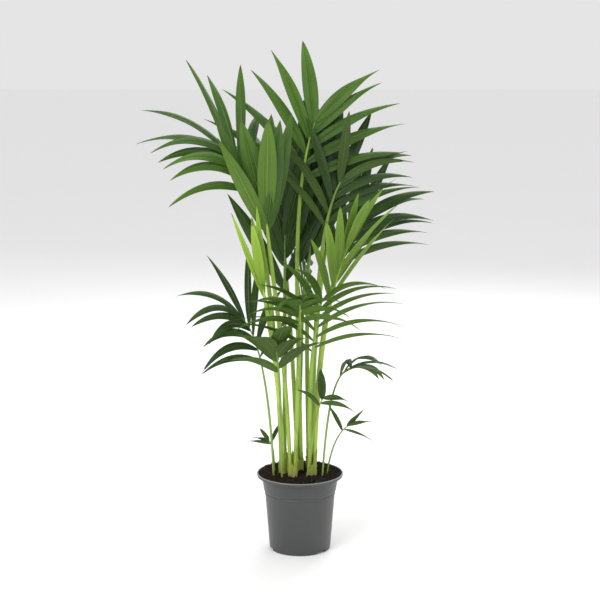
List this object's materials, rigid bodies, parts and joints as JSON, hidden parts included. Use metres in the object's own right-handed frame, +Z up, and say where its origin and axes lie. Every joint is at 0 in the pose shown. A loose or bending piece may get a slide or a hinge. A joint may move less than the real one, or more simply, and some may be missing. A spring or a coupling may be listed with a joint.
{
  "type": "potted palm",
  "caption": "Bushy feather-leaved palm clump with upright green stalks, growing in soil in a plain grey nursery pot with a stepped collar and rim.",
  "frame": {"origin": "middle of the pot's foot, on the surface it stands on", "axes": "+Z up, -Y towards the front of the plant, +X to its right"},
  "size_m": [0.6337, 0.6621, 1.1056],
  "materials": {
    "pot": "satin moulded plastic",
    "soil": "moist crumbly peat",
    "sheath": "dry fibrous leaf base",
    "leaf": "waxy, ribbed",
    "leaf_light": "waxy, pleated",
    "leaf_dark": "waxy, ribbed",
    "leaf_young": "waxy, smooth"
  },
  "bodies": {
    "root": {"pot": "pot", "soil": "soil", "sheath_left": "sheath", "sheath_mid_left": "sheath", "sheath_centre": "sheath", "sheath_right": "sheath", "sheath_back_right": "sheath", "frond_tall_centre": "leaf", "frond_left_arching": "leaf", "frond_left_broad": "leaf_light", "frond_dark_back_left": "leaf_dark", "frond_dark_centre_right": "leaf_dark", "frond_right_high": "leaf_dark", "frond_right_light": "leaf_light", "frond_right_low_dark": "leaf_dark", "frond_left_spear": "leaf_young", "frond_left_low": "leaf_dark", "frond_left_low_inner": "leaf_dark", "frond_low_centre": "leaf", "frond_right_low": "leaf", "frond_right_small": "leaf_dark", "frond_right_small_inner": "leaf_dark", "frond_right_sprig": "leaf_dark", "frond_left_sprig": "leaf_dark", "frond_back_left": "leaf", "frond_back_right": "leaf", "frond_back_low": "leaf_dark"}
  },
  "joints": []
}
